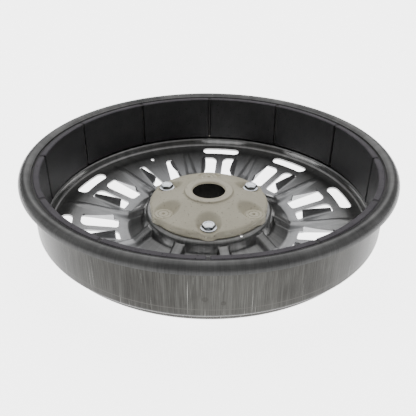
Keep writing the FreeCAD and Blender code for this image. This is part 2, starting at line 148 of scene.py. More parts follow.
def fill(border, holes, seeds, clearance=0.45):
    """Triangles that fill a border around holes, with seeds as inner points."""
    seeds = np.array(seeds)
    keep = inside(seeds, border) & (gap_to(seeds, border) > clearance)
    for hole in holes:
        keep &= ~inside(seeds, hole) & (gap_to(seeds, hole) > clearance)
    seeds = np.unique(np.round(seeds[keep], 3), axis=0)
    points, edges = [], []
    for loop in [border] + holes:
        first = len(points)
        points += loop
        edges += [(first + k, first + (k + 1) % len(loop)) for k in range(len(loop))]
    points += [tuple(p) for p in seeds]
    flat, _, faces, _, _, _ = delaunay_2d_cdt([Vector(p) for p in points], edges, [], 0, 1e-6)
    flat = np.array([tuple(p) for p in flat])
    faces = np.array([tuple(f) for f in faces])
    middle = flat[faces].mean(axis=1)
    good = inside(middle, border)
    for hole in holes:
        good &= ~inside(middle, hole)
    faces = faces[good]
    a, b, c = flat[faces[:, 0]], flat[faces[:, 1]], flat[faces[:, 2]]
    turn = (b[:, 0] - a[:, 0]) * (c[:, 1] - a[:, 1]) - (b[:, 1] - a[:, 1]) * (c[:, 0] - a[:, 0])
    faces = np.where((turn > 0)[:, None], faces, faces[:, ::-1])
    longest = np.maximum(np.hypot(*(b - c).T), np.hypot(*(c - a).T))
    longest = np.maximum(np.hypot(*(a - b).T), longest)
    return flat, faces[np.abs(turn) > 1e-3 * longest ** 2]


def smooth(t):
    t = np.clip(t, 0, 1)
    return t * t * (3 - 2 * t)


def soft_min(a, b, width):
    h = np.clip(width - np.abs(a - b), 0, None) / width
    return np.minimum(a, b) - h * h * width / 4


# ------------------------------------------------------------------ the pressed drum
PROFILE = round_path(DRUM_TOP, 8)
WEB_PROFILE = np.array([p for p in PROFILE if p[0] <= PROFILE_SPLIT])[::-1]


def web_height(radius):
    """Height of the floor's upper face before ribs and vanes."""
    return np.interp(radius, WEB_PROFILE[:, 0], WEB_PROFILE[:, 1])


def vane_shape(x, low=False):
    """Steepest slope and length of the vane at a distance from the axis; low ones taper further."""
    share = np.clip((x - VANE_IN) / (VANE_OUT - VANE_IN), 0, 1)
    slope_loss, length_loss = LOW_TAPER if low else PLAIN_TAPER
    return np.radians(VANE_SLOPE - slope_loss * share), VANE_LENGTH - length_loss * share


def hinge(x, far_out, far_in):
    """Side of the vent the vane is bent along, as a distance from the sector's middle line."""
    out_x, out_y = polar(VENT_OUT, far_out)
    in_x, in_y = polar(VENT_IN, far_in)
    return in_y + (out_y - in_y) * (x - in_x) / (out_x - in_x)


def vent_outline(side, bar_out, bar_in, far_out, far_in, bar_corner):
    """Outline of one vent before its vane is bent up: the vane narrows it."""
    low = bar_corner < LOW_CORNER
    a, b = polar(VENT_OUT, bar_out), polar(VENT_OUT, far_out)
    c, d = polar(VENT_IN, far_in), polar(VENT_IN, bar_in)
    root_out = float(hinge(VANE_OUT, far_out, far_in))
    root_in = float(hinge(VANE_IN, far_out, far_in))
    tip_out = (VANE_OUT, root_out - float(vane_shape(VANE_OUT, low)[1]))
    tip_in = (VANE_IN, root_in - float(vane_shape(VANE_IN, low)[1]))
    corners = [(*a, bar_corner), (*b, 1.2), (VANE_OUT + 0.7, root_out + ROOT_CUT, 0.3)]
    corners += [(VANE_OUT, root_out + ROOT_CUT, 0.3), (*tip_out, 0.6 if low else 1.8), (*tip_in, 0.5)]
    corners += [(VANE_IN, root_in + ROOT_CUT, 0.2), (VANE_IN - 0.6, root_in + ROOT_CUT, 0.3)]
    corners += [(*c, 1.2), (*d, 3.0)]
    loop = round_path(corners, 6, closed=True)
    return resample([(x, side * y) for x, y in loop], 1.3)


def ring_outline(inner, outer, half, corner):
    """Rounded sector of a ring about the origin, centred on the X axis."""
    bends = [(half - SLOT_END) * (k / 5.0 - 1) for k in range(11)]
    corners = [(*polar(outer, -half), corner)] + [(*polar(outer, t), 0) for t in bends]
    corners += [(*polar(outer, half), corner), (*polar(inner, half), corner)]
    corners += [(*polar(inner, -t), 0) for t in bends] + [(*polar(inner, -half), corner)]
    return round_path(corners, 6, closed=True)


def sector_holes(kind):
    """Outlines of the holes in a plain, odd or drain sector, and its list of vents."""
    if kind == "odd":
        vents = ODD_VENTS
        holes = [circle((116.0, 0.0), 1.8, 16)]
    else:
        vents = PLAIN_VENTS
        holes = [resample(ring_outline(116.2, 126.4, 8.75, 4.6), 1.6)]
    holes += [vent_outline(*vent) for vent in vents]
    if kind == "drain":
        holes.append(circle((51.7, 0.0), 1.35, 14))
    return holes, vents


# Radii of the sector's net, closest where the seat and the dish bend most.
ROWS = [47, 49, 50.5, 51.6, 52.4, 52.9, 53.3, 53.7, 54.0, 54.3, 54.6, 55.0, 55.5, 56.0, 56.5, 57.0,
        57.6, 58.3, 59.2, 60.3, 61.6, 63, 64.6, 66.2, 67.6, 68.8, 69.8, 70.8, 71.8, 73, 74.5, 76]
ROWS += list(np.arange(78, 129.0, 1.9)) + [WEB_OUT]
# Distances from a vane's hinge of the lines of points along it.
VANE_LINES = (-3.4, -2.6, -2.0, -1.5, -1.0, -0.5, 0.0, 0.5, 1.1, 2.2, 3.4, 4.6, 5.8)


def sector_seeds(vents):
    """Points inside a sector: an even net, closer lines along ribs and vanes."""
    seeds = []
    for radius in ROWS:
        half_foot = rib_sizes(np.array([radius]))[1][0]
        for k in range(1, SPLITS):
            angle = -STEP / 2 + STEP * k / SPLITS
            to_rib = radius * math.sin(math.radians(STEP / 2 - abs(angle)))
            if to_rib > half_foot + 1.0:
                seeds.append(polar(radius, angle))
        crest, foot = (float(v[0]) for v in rib_sizes(np.array([radius]))[:2])
        offsets = [crest * 0.5, crest] + [crest + (foot - crest) * s for s in (0.2, 0.4, 0.6, 0.8, 1.0)]
        offsets += [foot + 0.8]
        for side in (-1, 1):
            for offset in offsets:
                angle = STEP / 2 - math.degrees(math.asin(min(offset / radius, 1)))
                seeds.append(polar(radius, side * angle))
    for side, _, _, far_out, far_in, _ in vents:
        for x in np.arange(78.6, 110.0, 1.0):
            base = float(hinge(x, far_out, far_in))
            seeds += [(x, side * (base - v)) for v in VANE_LINES]
    return seeds


def rib_sizes(radius):
    """Half width of crest, half width of foot, and height of the crest of a rib."""
    foot = np.interp(radius, [56, 72, 84, 112, 125], [6.4, 7.0, 6.4, 4.3, 2.8])
    crest_z = np.interp(radius, [56.5, 62, 71, 84, 112, 124], [13.8, 10.8, 5.6, 6.3, 11.9, 12.6])
    return foot * np.interp(radius, [60, 74, 90], [0.5, 0.42, 0.25]), foot, crest_z


def sector_surface(flat, vents):
    """Height of the drum's floor over a sector, with its ribs and bent-up vanes."""
    x, y = flat[:, 0], flat[:, 1]
    radius = np.hypot(x, y)
    angle = np.degrees(np.arctan2(y, x))
    z = web_height(radius)
    crest, foot, crest_z = rib_sizes(radius)
    across = radius * np.sin(np.radians(STEP / 2 - np.abs(angle)))
    rise = np.where(radius < SEAT_EDGE, 0, np.clip(crest_z - z, 0, None))
    z = z + rise * smooth((foot - across) / (foot - crest))
    out_y = y.copy()
    for side, _, _, far_out, far_in, corner in vents:
        v = hinge(x, far_out, far_in) - y * side
        slope, length = vane_shape(x, corner < LOW_CORNER)
        own = (y * side > 0) & (x > VANE_IN - VANE_END) & (x < VANE_OUT + VANE_END)
        own &= (v > FOLD_FROM - 0.1) & (v < length + 0.8)
        lift, pull = np.zeros(len(x)), np.zeros(len(x))
        for k in range(BEND_STEPS):
            u = FOLD_FROM + (k + 0.5) * BEND_STEP
            bend = slope * smooth((u - FOLD_FROM) / FOLD_SPAN)
            share = np.clip((v - (u - BEND_STEP / 2)) / BEND_STEP, 0, 1)
            lift += np.sin(bend) * share * BEND_STEP
            pull += (1 - np.cos(bend)) * share * BEND_STEP
        fade = smooth((x - VANE_IN + VANE_END) / VANE_END) * smooth((VANE_OUT + VANE_END - x) / VANE_END)
        z = z + np.where(own, lift * fade, 0)
        out_y = out_y + np.where(own, side * pull * fade, 0)
    return np.column_stack([x, out_y, z])


def sector_border():
    """Outline of a sector, with the same points on both sides so that neighbours meet."""
    border = [polar(WEB_OUT, -STEP / 2 + STEP * k / SPLITS) for k in range(SPLITS + 1)]
    rows = ROWS[::-1][1:-1]
    border += [polar(r, STEP / 2) for r in rows]
    border += [polar(WEB_IN, STEP / 2 - STEP * k / SPLITS) for k in range(SPLITS + 1)]
    border += [polar(r, -STEP / 2) for r in rows[::-1]]
    return border


def sector_part(kind):
    holes, vents = sector_holes(kind)
    flat, faces = fill(sector_border(), holes, sector_seeds(vents))
    return sector_surface(flat, vents), faces


def turned(points, degrees):
    """Points (x, y, z) turned about the spin axis."""
    c, s = math.cos(math.radians(degrees)), math.sin(math.radians(degrees))
    x, y, z = points[:, 0], points[:, 1], points[:, 2]
    return np.column_stack([x * c - y * s, x * s + y * c, z])


def band_faces(rows, count):
    """Quads between neighbouring closed rows of count points each."""
    faces = []
    for i in range(rows - 1):
        for j in range(count):
            k = (j + 1) % count
            faces.append((i * count + j, i * count + k, (i + 1) * count + k, (i + 1) * count + j))
    return faces


def revolved(path, count, start=0.0):
    """Surface of revolution of (radius, height) points."""
    ring = np.radians(start + np.arange(count) * 360.0 / count)
    rows = [np.column_stack([r * np.cos(ring), r * np.sin(ring), np.full(count, z)]) for r, z in path]
    return np.vstack(rows), band_faces(len(path), count)


def loop_wall(loops):
    """Bands between loops of 3-D points that have the same count."""
    return np.vstack(loops), band_faces(len(loops), len(loops[0]))


def capped(loops):
    """Bands between loops, closed by one flat face at each end."""
    points, faces = loop_wall(loops)
    count = len(loops[0])
    faces.append(tuple(range(count))[::-1])
    faces.append(tuple(range(len(points) - count, len(points))))
    return points, faces


def make_mesh(name, parts, flip=False, merge=2e-6):
    """One object from (points in millimetres, faces) parts, welded where they meet."""
    points, faces, first = [], [], 0
    for part_points, part_faces in parts:
        points.append(np.asarray(part_points) * MM)
        faces += [tuple(int(i) + first for i in (f[::-1] if flip else f)) for f in part_faces]
        first += len(part_points)
    mesh = bpy.data.meshes.new(name)
    mesh.from_pydata(np.vstack(points).tolist(), [], faces)
    bm = bmesh.new()
    bm.from_mesh(mesh)
    bmesh.ops.remove_doubles(bm, verts=bm.verts, dist=merge)
    bm.to_mesh(mesh)
    bm.free()
    obj = bpy.data.objects.new(name, mesh)
    bpy.context.scene.collection.objects.link(obj)
    return obj


def shade(obj, degrees=35):
    obj.data.shade_smooth()
    obj.data.set_sharp_from_angle(angle=math.radians(degrees))


def apply_modifiers(obj):
    """Replace an object's mesh with what its modifiers make of it."""
    bpy.context.view_layer.update()
    graph = bpy.context.evaluated_depsgraph_get()
    mesh = bpy.data.meshes.new_from_object(obj.evaluated_get(graph), depsgraph=graph)
    obj.modifiers.clear()
    obj.data = mesh


def off_seat(face):
    """How far the middle of a face is from the seat's upper face, 40 mm from the axis."""
    middle = face.calc_center_median()
    return abs(middle.xy.length - 40 * MM) + abs(middle.z - SEAT_Z * MM)


def make_drum():
    """The pressing's upper face, turned and in sectors, then given the sheet's thickness."""
    columns = SPLITS * SECTORS
    start = FIRST_SECTOR - STEP / 2
    outer = [p for p in PROFILE if p[0] > PROFILE_SPLIT] + [(WEB_OUT, float(web_height(WEB_OUT)))]
    path = resample(outer, 6.0, closed=False)
    parts = [revolved(path, columns, start)]
    parts.append(revolved([(WEB_IN, SEAT_Z), (38.0, SEAT_Z), (EYE, SEAT_Z)], columns, start))
    plain, odd, drain = sector_part("plain"), sector_part("odd"), sector_part("drain")
    for k in range(SECTORS):
        points, faces = {ODD: odd, DRAIN: drain}.get(k, plain)
        parts.append((turned(points, FIRST_SECTOR + k * STEP), faces))
    drum = make_mesh("drum_pressing", parts)
    bm = bmesh.new()
    bm.from_mesh(drum.data)
    bmesh.ops.recalc_face_normals(bm, faces=bm.faces)
    if min(bm.faces, key=off_seat).normal.z < 0:
        bmesh.ops.reverse_faces(bm, faces=bm.faces)
    bm.to_mesh(drum.data)
    bm.free()
    thick = drum.modifiers.new("sheet", "SOLIDIFY")
    thick.thickness = SHEET * MM
    thick.offset = -1
    thick.use_even_offset = True
    thick.use_quality_normals = True
    apply_modifiers(drum)
    shade(drum, 38)
    return drum


# ------------------------------------------------------------------ hub and screws
def hub_edge(degrees):
    """Distance of the hub's outline from the axis, in a direction: a circle with six lobes."""
    off = math.radians(degrees % 60.0 - 30.0)
    under = LOBE_R ** 2 - (SEAT_CIRCLE * math.sin(off)) ** 2
    lobe = SEAT_CIRCLE * math.cos(off) + math.sqrt(under) if under > 0 else 0.0
    return -float(soft_min(-HUB_R, -lobe, 1.2))


def hub_top(flat, outline_radius):
    """Height of the hub's upper face."""
    x, y = flat[:, 0], flat[:, 1]
    radius, angle = np.hypot(x, y), np.degrees(np.arctan2(y, x))
    z = np.interp(radius, [14.8, 20.0, 20.35, 20.6, 20.75, 21.0, 50.4, 54],
                  [33.6, 33.6, 33.45, 33.0, 32.3, 31.98, 23.3, 22.2])
    for k in range(6):
        seat_x, seat_y = polar(SEAT_CIRCLE, 30 + 60 * k)
        away = np.hypot(x - seat_x, y - seat_y)
        z = soft_min(z, SCOOP_Z + np.clip(away - SCOOP_R, 0, None) * SCOOP_SLOPE, 1.1)
        pad = np.interp(away, [6.8, 7.0, 7.15, PAD_R], [PAD_Z, 22.84, 22.6, SCOOP_Z])
        z = np.where(away < PAD_R, pad, z)
        if k % 2:
            dimple = np.interp(away, [0, 0.7, 1.4, 1.6], [1.7, 1.5, 0.2, 0])
            ring = np.interp(away, [4.15, 4.35, 4.65, 4.85], [0, 0.5, 0.5, 0])
            z = z - dimple - ring
    edge = outline_radius(angle) - radius
    inset = np.clip(HUB_ROUND - edge, 0, HUB_ROUND)
    return z - (HUB_ROUND - np.sqrt(np.clip(HUB_ROUND ** 2 - inset ** 2, 0, None)))


def at_height(loop, z):
    return np.array([(x, y, float(z)) for x, y in loop])


def hub_seeds(angles):
    """Inner points of the hub's upper face: rings about the axis and each seat, and lines at its edge."""
    seeds = []
    centres = [polar(SEAT_CIRCLE, 30 + 60 * k) for k in range(6)]
    for radius in [17, 19, 20, 20.35, 20.6, 20.75, 21.0] + list(np.arange(22.2, 50, 1.2)):
        for k in range(144):
            spot = polar(radius, 2.5 * k + (1.25 if int(radius * 5) % 2 else 0))
            if min(math.dist(spot, centre) for centre in centres) > 15.5:
                seeds.append(spot)
    for centre in centres:
        for ring in [0.7, 1.4, 1.6, 2.6, 3.7, 4.15, 4.35, 4.65, 4.85, 5.8, 6.8, 7.0, 7.15, 7.35, 7.8, 8.3,
                     9.0, 9.8, 10.6, 11.4, 12.2, 13.0, 13.8, 14.6]:
            seeds += [p for p in circle(centre, ring, 56) if math.hypot(*p) > 22]
        seeds.append(centre)
    for inset in (0.12, 0.4, 0.8, 1.2, HUB_ROUND):
        seeds += [polar(hub_edge(a) - inset, a) for a in angles]
    return seeds


def make_hub():
    """The moulding: upper face, side, underside around the spigot, screw holes, spigot and bore."""
    count = 288
    angles = [k * 360.0 / count for k in range(count)]
    outline = [polar(hub_edge(a), a) for a in angles]
    reach = np.array([hub_edge(a) for a in angles] + [hub_edge(0)])

    def outline_radius(degrees):
        return np.interp(degrees % 360.0, angles + [360.0], reach)

    mouth = circle((0, 0), MOUTH_R, 96)
    holes = [circle(polar(SEAT_CIRCLE, 30 + 120 * k), SCREW_HOLE_R, 32) for k in range(3)]
    flat, faces = fill(outline, [mouth] + holes, hub_seeds(angles), 0.09)
    parts = [(np.column_stack([flat, hub_top(flat, outline_radius)]), faces)]
    rim = np.column_stack([np.array(outline), hub_top(np.array(outline), outline_radius)])
    parts.append(loop_wall([rim, at_height(outline, HUB_SIDE_Z), at_height(outline, SEAT_Z)]))
    spigot = circle((0, 0), SPIGOT_R, 96)
    under_seeds = [polar(r, 5.0 * k) for r in (30, 36, 44) for k in range(72)]
    under, under_faces = fill(outline, [spigot] + holes, under_seeds, 0.5)
    parts.append((np.column_stack([under, np.full(len(under), SEAT_Z)]), under_faces[:, ::-1]))
    for hole in holes:
        high = hub_top(np.array(hole), outline_radius)
        parts.append(loop_wall([np.column_stack([np.array(hole), high]), at_height(hole, SEAT_Z)]))
    path = [(SPIGOT_R, SEAT_Z), (SPIGOT_R, 10.6), (23.8, 10.2), (23.4, 10.0), (15.6, 10.0), (15.6, 31.8),
            (BORE_R, 31.8), (BORE_R, 32.7), (14.2, 33.15), (MOUTH_R, 33.6)]
    parts.append(revolved(path, 96))
    hub = make_mesh("hub_moulding", parts)
    face_outward(hub)
    shade(hub, 40)
    return hub


def face_outward(obj):
    bm = bmesh.new()
    bm.from_mesh(obj.data)
    bmesh.ops.recalc_face_normals(bm, faces=bm.faces)
    bm.to_mesh(obj.data)
    bm.free()


def make_screw(name, number):
    """Flanged hexagon screw as rings of points from the middle of its head to its tip."""
    count = 72
    angles = [k * 2 * math.pi / count for k in range(count)]
    hexagon = [4.85 / math.cos(a % (math.pi / 3) - math.pi / 6) for a in angles]

    def even(rows):
        """Round rings, each with one radius and one height."""
        return [([r] * count, [z] * count) for r, z in rows]

    rings = even([(0.6, 3.72), (2.6, 3.72), (3.0, 3.8), (3.3, 4.08), (3.6, 4.1), (4.35, 4.1)])
    top = [4.1 - (h * 0.985 - 4.35) * 0.62 for h in hexagon]
    rings.append(([h * 0.985 for h in hexagon], top))
    rings.append((hexagon, [z - 0.14 for z in top]))
    rings.append((hexagon, [1.5] * count))
    rings.append(([h + 0.12 for h in hexagon], [1.32] * count))
    rings += even([(6.25, 1.02), (6.55, 0.88), (6.7, 0.6), (6.7, 0.12), (6.6, 0.0), (3.0, 0.0)])
    for k in range(12):
        z = -1.0 - k
        rings += even([(2.62, z), (3.0, z - 0.45), (3.0, z - 0.6)])
    rings += even([(2.6, -13.9), (1.9, -14.4), (0.5, -14.4)])
    loops = []
    for radii, heights in rings:
        loops.append(np.array([(r * math.cos(a), r * math.sin(a), z)
                               for a, r, z in zip(angles, radii, heights)]))
    points, faces = capped(loops)
    angle = 30.0 + 120.0 * (number - 1)
    spot = polar(SEAT_CIRCLE, angle)
    points = turned(points, angle + 90.0) + np.array([*spot, PAD_Z])
    screw = make_mesh(name, [(points, faces)])
    face_outward(screw)
    shade(screw, 32)
    return screw


DRIP_R, DRIP_Z = 138.1, 26.0
JOINT_LOW, JOINT_HEIGHT, JOINT_ROWS = 23.6, 40.0, 15
JOINT_SECTION = [(138.8, -0.98), (136.2, -0.98), (135.6, -0.7), (135.35, 0.0), (135.6, 0.7),
                 (136.2, 0.98), (138.8, 0.98)]


def make_drip():
    """Small bead of adhesive that ran out under one joint between two magnets."""
    points = []
    rows, count = 9, 20
    for i in range(rows):
        t = i / (rows - 1) * math.pi
        for j in range(count):
            a = j * 2 * math.pi / count
            wobble = 1 + 0.16 * math.sin(2 * a + 1.3 * i) + 0.1 * math.sin(5 * a + i)
            width = 1.9 * math.sin(t) ** 0.7 * wobble
            out = DRIP_R + 0.55 * width * math.sin(a)
            points.append((width * math.cos(a), out, DRIP_Z + 5.0 * math.cos(t)))
    drip = make_mesh("glue_drip", [(np.array(points), band_faces(rows, count))], merge=2e-5)
    face_outward(drip)
    drip.data.shade_smooth()
    return drip


def make_joint_fill():
    """Adhesive squeezed into the twelve upright joints between the magnets."""
    last_row, last_point = JOINT_ROWS - 1, len(JOINT_SECTION) - 1
    parts = []
    for k in range(12):
        loops = []
        for i in range(JOINT_ROWS):
            z = JOINT_LOW + i * JOINT_HEIGHT / last_row
            sag = 0.35 * math.sin(1.7 * i + 2.1 * k)
            end = 0.5 if i in (0, last_row) else 0.0
            loops.append(np.array([(x - (sag + end if 0 < j < last_point else 0), y, z)
                                   for j, (x, y) in enumerate(JOINT_SECTION)]))
        points, faces = capped(loops)
        parts.append((turned(points, 30.0 * k), faces))
    fill_piece = make_mesh("joint_adhesive", parts)
    face_outward(fill_piece)
    shade(fill_piece, 50)
    return fill_piece


# ------------------------------------------------------------------ materials
def new_material(name):
    mat = bpy.data.materials.new(name)
    mat.use_nodes = True
    return mat, mat.node_tree, mat.node_tree.nodes["Principled BSDF"]


def link(tree, source, target):
    tree.links.new(source, target)


def maths(tree, operation, *values):
    node = tree.nodes.new("ShaderNodeMath")
    node.operation = operation
    for socket, value in zip(node.inputs, values):
        if isinstance(value, (int, float)):
            socket.default_value = value
        else:
            tree.links.new(value, socket)
    return node.outputs[0]


def times(tree, first, second):
    return maths(tree, "MULTIPLY", first, second)


def over(tree, value, limit):
    """1 where the value is over the limit, else 0."""
    return maths(tree, "GREATER_THAN", value, limit)


def less(tree, value, limit):
    """1 where the value is under the limit, else 0."""
    return maths(tree, "LESS_THAN", value, limit)


def clamped(tree, value):
    return maths(tree, "MINIMUM", maths(tree, "MAXIMUM", value, 0.0), 1.0)


def noise(tree, at, scale, detail=4.0, rough=0.55):
    node = tree.nodes.new("ShaderNodeTexNoise")
    node.inputs["Scale"].default_value = scale
    node.inputs["Detail"].default_value = detail
    node.inputs["Roughness"].default_value = rough
    tree.links.new(at, node.inputs["Vector"])
    return node.outputs["Fac"]


def ramp(tree, value, stops):
    """Colour ramp; each stop is (position, grey or colour)."""
    node = tree.nodes.new("ShaderNodeValToRGB")
    items = node.color_ramp.elements
    while len(items) < len(stops):
        items.new(0.5)
    for item, (place, colour) in zip(items, stops):
        item.position = place
        item.color = (*colour, 1) if isinstance(colour, tuple) else (colour, colour, colour, 1)
    tree.links.new(value, node.inputs["Fac"])
    return node.outputs["Color"]


def mixed(tree, factor, first, second, kind="MIX"):
    node = tree.nodes.new("ShaderNodeMix")
    node.data_type = "RGBA"
    node.blend_type = kind
    for socket, value in ((node.inputs[0], factor), (node.inputs[6], first), (node.inputs[7], second)):
        if isinstance(value, (int, float)):
            socket.default_value = value
        elif isinstance(value, tuple):
            socket.default_value = (*value, 1)
        else:
            tree.links.new(value, socket)
    return node.outputs[2]


def coordinates(tree):
    """Object coordinates, with the direction about the spin axis and the distance from it."""
    node = tree.nodes.new("ShaderNodeTexCoord")
    apart = tree.nodes.new("ShaderNodeSeparateXYZ")
    tree.links.new(node.outputs["Object"], apart.inputs[0])
    x, y, z = apart.outputs
    angle = maths(tree, "ARCTAN2", y, x)
    radius = maths(tree, "SQRT", maths(tree, "ADD", times(tree, x, x), times(tree, y, y)))
    return node.outputs["Object"], angle, radius, z


def vector(tree, x, y, z):
    node = tree.nodes.new("ShaderNodeCombineXYZ")
    for socket, value in zip(node.inputs, (x, y, z)):
        if isinstance(value, (int, float)):
            socket.default_value = value
        else:
            tree.links.new(value, socket)
    return node.outputs[0]


def bump(tree, shader, height, strength, distance):
    node = tree.nodes.new("ShaderNodeBump")
    node.inputs["Strength"].default_value = strength
    node.inputs["Distance"].default_value = distance
    tree.links.new(height, node.inputs["Height"])
    tree.links.new(node.outputs["Normal"], shader.inputs["Normal"])


def upward(tree):
    """How far the surface faces along the spin axis."""
    node = tree.nodes.new("ShaderNodeNewGeometry")
    apart = tree.nodes.new("ShaderNodeSeparateXYZ")
    tree.links.new(node.outputs["Normal"], apart.inputs[0])
    return apart.outputs[2]


# Where the zones of the drum's steel start or end, in metres: distance from the axis or height.
FLOOR_R, FLOOR_Z = 0.1335, 0.0135
STEP_R, STEP_Z = 0.1352, 0.0189
WALL_R, RIM_R, RIM_Z, RIM_EDGE_R = 0.1405, 0.1403, 0.0605, 0.1458
DRAW_MARK_Z, DRAW_MARK_HALF = 0.0268, 0.00028


def wall_zone(tree, where, wall, colour, draw, cloud):
    """The colour with the outer wall's tone, its rare ring-shaped spots and its upright scratches."""
    place, angle, z = where
    cells = tree.nodes.new("ShaderNodeTexVoronoi")
    cells.inputs["Scale"].default_value = 70.0
    link(tree, place, cells.inputs["Vector"])
    spots = ramp(tree, cells.outputs["Distance"], [(0.0, 0.25), (0.09, 0.35), (0.13, 0.8), (0.17, 0.0)])
    rare = ramp(tree, noise(tree, place, 34.0, 1), [(0.44, 0.0), (0.49, 1.0)])
    tone = ramp(tree, draw, [(0.36, (0.105, 0.101, 0.094)), (0.50, (0.155, 0.151, 0.141)),
                             (0.64, (0.235, 0.235, 0.222))])
    cloudy = ramp(tree, cloud, [(0.35, (0.105, 0.10, 0.093)), (0.65, (0.21, 0.21, 0.199))])
    tone = mixed(tree, 0.4, tone, cloudy)
    colour = mixed(tree, wall, colour, mixed(tree, 1.0, colour, tone, "MULTIPLY"))
    marks = times(tree, times(tree, spots, rare), times(tree, wall, 0.7))
    colour = mixed(tree, marks, colour, (0.02, 0.019, 0.017))
    at = vector(tree, times(tree, angle, 60.0), times(tree, z, 4.0), 0.0)
    scratch = ramp(tree, noise(tree, at, 4.0, 2), [(0.70, 0.0), (0.74, 1.0)])
    return mixed(tree, times(tree, wall, times(tree, scratch, 0.5)), colour, (0.36, 0.36, 0.34))


def steel_material():
    """Coated sheet in zones: inner floor painted lighter as painted light, drawn and spotted wall, dark
    rim with its edge painted darker as painted shade.
    """
    mat, tree, shader = new_material("pressed_steel")
    place, angle, radius, z = coordinates(tree)
    along = times(tree, angle, 9.0)
    at = vector(tree, along, times(tree, z, 1.4), times(tree, radius, 5.0))
    draw = noise(tree, at, 26.0, 6, 0.62)
    at = vector(tree, along, times(tree, z, 3.0), times(tree, radius, 3.0))
    wide = noise(tree, at, 2.2, 3)
    at = vector(tree, times(tree, angle, 0.6), z, times(tree, radius, 260.0))
    rings = noise(tree, at, 1.6, 3)
    cloud = noise(tree, place, 26.0, 5)
    grain = noise(tree, place, 900.0, 2)
    colour = ramp(tree, draw, [(0.30, (0.115, 0.115, 0.112)), (0.52, (0.185, 0.185, 0.18)),
                               (0.72, (0.27, 0.27, 0.26))])
    cloudy = ramp(tree, cloud, [(0.3, (0.125, 0.127, 0.13)), (0.7, (0.27, 0.265, 0.255))])
    colour = mixed(tree, 0.45, colour, cloudy)
    colour = mixed(tree, 0.35, colour, ramp(tree, rings, [(0.3, 0.12), (0.7, 0.27)]))
    colour = mixed(tree, 0.25, colour, ramp(tree, wide, [(0.35, 0.11), (0.65, 0.29)]))
    on_floor = times(tree, less(tree, z, FLOOR_Z), less(tree, radius, FLOOR_R))
    # The middle of the floor is painted lighter: painted light for the floor that the walls shade least.
    # It is also made less metallic.
    floor_painted_light = ramp(tree, times(tree, radius, 7.0),
                  [(0.42, 0.0), (0.48, 0.18), (0.53, 0.62), (0.70, 0.42), (0.84, 0.0)])
    floor_painted_light = times(tree, floor_painted_light, on_floor)
    bright = ramp(tree, draw, [(0.3, (0.33, 0.335, 0.345)), (0.7, (0.50, 0.505, 0.52))])
    colour = mixed(tree, floor_painted_light, colour, bright)
    lower_step = times(tree, over(tree, radius, STEP_R), less(tree, z, STEP_Z))
    outside = maths(tree, "MAXIMUM", over(tree, radius, WALL_R), lower_step)
    wall = times(tree, outside, less(tree, z, RIM_Z))
    colour = wall_zone(tree, (place, angle, z), wall, colour, draw, cloud)
    rim = times(tree, over(tree, radius, RIM_R), over(tree, z, RIM_Z))
    rim_tone = mixed(tree, 1.0, colour, ramp(tree, cloud, [(0.3, 0.36), (0.7, 0.62)]), "MULTIPLY")
    colour = mixed(tree, rim, colour, rim_tone)
    # The rim's outer edge is painted near black: painted shade. Its metal and specular are cut so that it
    # does not reflect the bright floor.
    edge = clamped(tree, times(tree, maths(tree, "SUBTRACT", radius, RIM_EDGE_R), 300.0))
    edge = times(tree, times(tree, edge, 0.78), over(tree, z, RIM_Z))
    colour = mixed(tree, edge, colour, ramp(tree, draw, [(0.3, 0.018), (0.7, 0.035)]))
    off_mark = maths(tree, "ABSOLUTE", maths(tree, "SUBTRACT", z, DRAW_MARK_Z))
    mark = times(tree, less(tree, off_mark, DRAW_MARK_HALF), 0.75)
    colour = mixed(tree, times(tree, outside, mark), colour, (0.05, 0.048, 0.045))
    link(tree, colour, shader.inputs["Base Color"])
    shader.inputs["Specular Tint"].default_value = (0.75, 0.75, 0.75, 1)
    kept = maths(tree, "SUBTRACT", 1.0, edge)
    dull = times(tree, floor_painted_light, 0.45)
    link(tree, maths(tree, "SUBTRACT", times(tree, kept, 0.92), dull), shader.inputs["Metallic"])
    link(tree, times(tree, kept, 0.5), shader.inputs["Specular IOR Level"])
    rough = maths(tree, "ADD", times(tree, cloud, 0.16), times(tree, draw, 0.16))
    link(tree, maths(tree, "ADD", rough, 0.16), shader.inputs["Roughness"])
    height = maths(tree, "ADD", times(tree, draw, 0.6), times(tree, grain, 0.25))
    bump(tree, shader, maths(tree, "ADD", height, times(tree, rings, 0.3)), 0.22, 0.0004)
    return mat


def ferrite_material():
    """Dark sintered blocks: fine upright grinding marks, small pits, and faces that point up painted
    greyer as painted light.
    """
    mat, tree, shader = new_material("ferrite")
    place, angle, _, z = coordinates(tree)
    grind = noise(tree, vector(tree, times(tree, angle, 30.0), times(tree, z, 6.0), 0.0), 14.0, 5)
    cloud = noise(tree, place, 60.0, 5)
    pits = ramp(tree, noise(tree, place, 700.0, 2), [(0.30, 1.0), (0.37, 0.0)])
    side = ramp(tree, grind, [(0.3, (0.010, 0.010, 0.011)), (0.7, (0.026, 0.025, 0.028))])
    side = mixed(tree, 0.5, side, ramp(tree, cloud, [(0.3, 0.009), (0.7, 0.028)]))
    top = ramp(tree, cloud, [(0.3, (0.055, 0.050, 0.058)), (0.7, (0.092, 0.085, 0.096))])
    # Faces that point up get the lighter top colour: painted light, picked by which way the surface
    # faces.
    colour = mixed(tree, over(tree, upward(tree), 0.5), side, top)
    colour = mixed(tree, pits, colour, (0.006, 0.006, 0.006))
    link(tree, colour, shader.inputs["Base Color"])
    shader.inputs["Specular IOR Level"].default_value = 0.22
    link(tree, maths(tree, "ADD", times(tree, cloud, 0.2), 0.5), shader.inputs["Roughness"])
    height = maths(tree, "ADD", times(tree, grind, 0.6), times(tree, pits, -0.5))
    bump(tree, shader, height, 0.25, 0.0003)
    return mat


